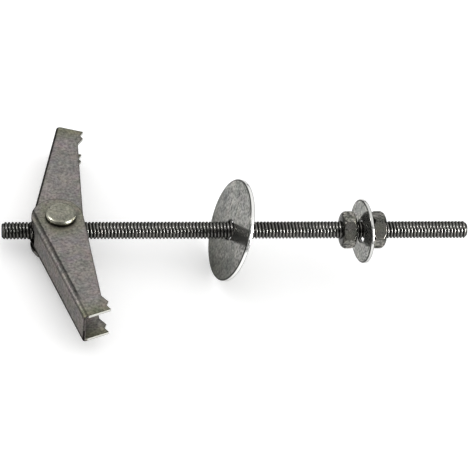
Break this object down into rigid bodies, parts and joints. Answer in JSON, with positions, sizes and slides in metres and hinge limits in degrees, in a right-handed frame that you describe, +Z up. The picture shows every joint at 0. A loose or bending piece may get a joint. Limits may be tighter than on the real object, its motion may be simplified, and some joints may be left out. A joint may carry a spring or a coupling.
{
  "type": "spring toggle bolt",
  "caption": "Threaded rod with a sprung folding two-wing toggle on a tapped cross pin, a large and a small plate washer and hex nuts.",
  "frame": {"origin": "on the ground, under the middle of the object's box", "axes": "+X runs along the rod from the toggle towards the free end of the rod, which is raised by 8 degrees; +Y points to the tip of wing_a; +Z is up"},
  "size_m": [0.172, 0.101, 0.0378],
  "materials": {
    "rod_steel": "zinc-plated steel, threaded, bright on the crests",
    "pin_steel": "zinc-plated steel, turned, slightly worn",
    "wing_sheet": "dull zinc-plated sheet steel, slightly mottled",
    "spring_wire": "drawn spring steel wire",
    "washer_steel": "zinc-plated sheet steel, stamped",
    "nut_steel": "zinc-plated steel, worn at the corners"
  },
  "bodies": {
    "rod": {"threaded_rod": "rod_steel"},
    "toggle_pin": {"cross_pin": "pin_steel", "wing_spring": "spring_wire"},
    "wing_a": {"wing_a": "wing_sheet"},
    "wing_b": {"wing_b": "wing_sheet"},
    "large_washer": {"large_washer": "washer_steel"},
    "inner_nut": {"inner_nut": "nut_steel"},
    "small_washer": {"small_washer": "washer_steel"},
    "outer_nut": {"outer_nut": "nut_steel"}
  },
  "joints": [
    {"name": "toggle_travel", "type": "slide", "parent": "rod", "child": "toggle_pin", "axis": [0.9902, 0, 0.1398], "range_m": [-0.014, 0.004]},
    {"name": "wing_a_fold", "type": "hinge", "parent": "toggle_pin", "child": "wing_a", "pos_m": [-0.06476, -0.00012, 0.01007], "axis": [0.1398, -0.0192, -0.99], "range_deg": [0, 80.5], "stiffness_Nm_per_rad": 0.036, "springref_deg": -20.05, "deforming": ["wing_spring"]},
    {"name": "wing_b_fold", "type": "hinge", "parent": "toggle_pin", "child": "wing_b", "pos_m": [-0.06476, -0.00012, 0.01007], "axis": [-0.1398, 0.0192, 0.99], "range_deg": [0, 76], "stiffness_Nm_per_rad": 0.036, "springref_deg": -20.05, "deforming": ["wing_spring"]},
    {"name": "large_washer_slide", "type": "slide", "parent": "rod", "child": "large_washer", "axis": [0.9902, 0, 0.1398], "range_m": [-0.002, 0.018]},
    {"name": "inner_nut_travel", "type": "slide", "parent": "rod", "child": "inner_nut", "axis": [0.9902, 0, 0.1398], "range_m": [-0.016, 0]},
    {"name": "small_washer_slide", "type": "slide", "parent": "rod", "child": "small_washer", "axis": [0.9902, 0, 0.1398], "range_m": [-0.0009, 0.0007]},
    {"name": "outer_nut_travel", "type": "slide", "parent": "rod", "child": "outer_nut", "axis": [0.9902, 0, 0.1398], "range_m": [0, 0.025]}
  ]
}
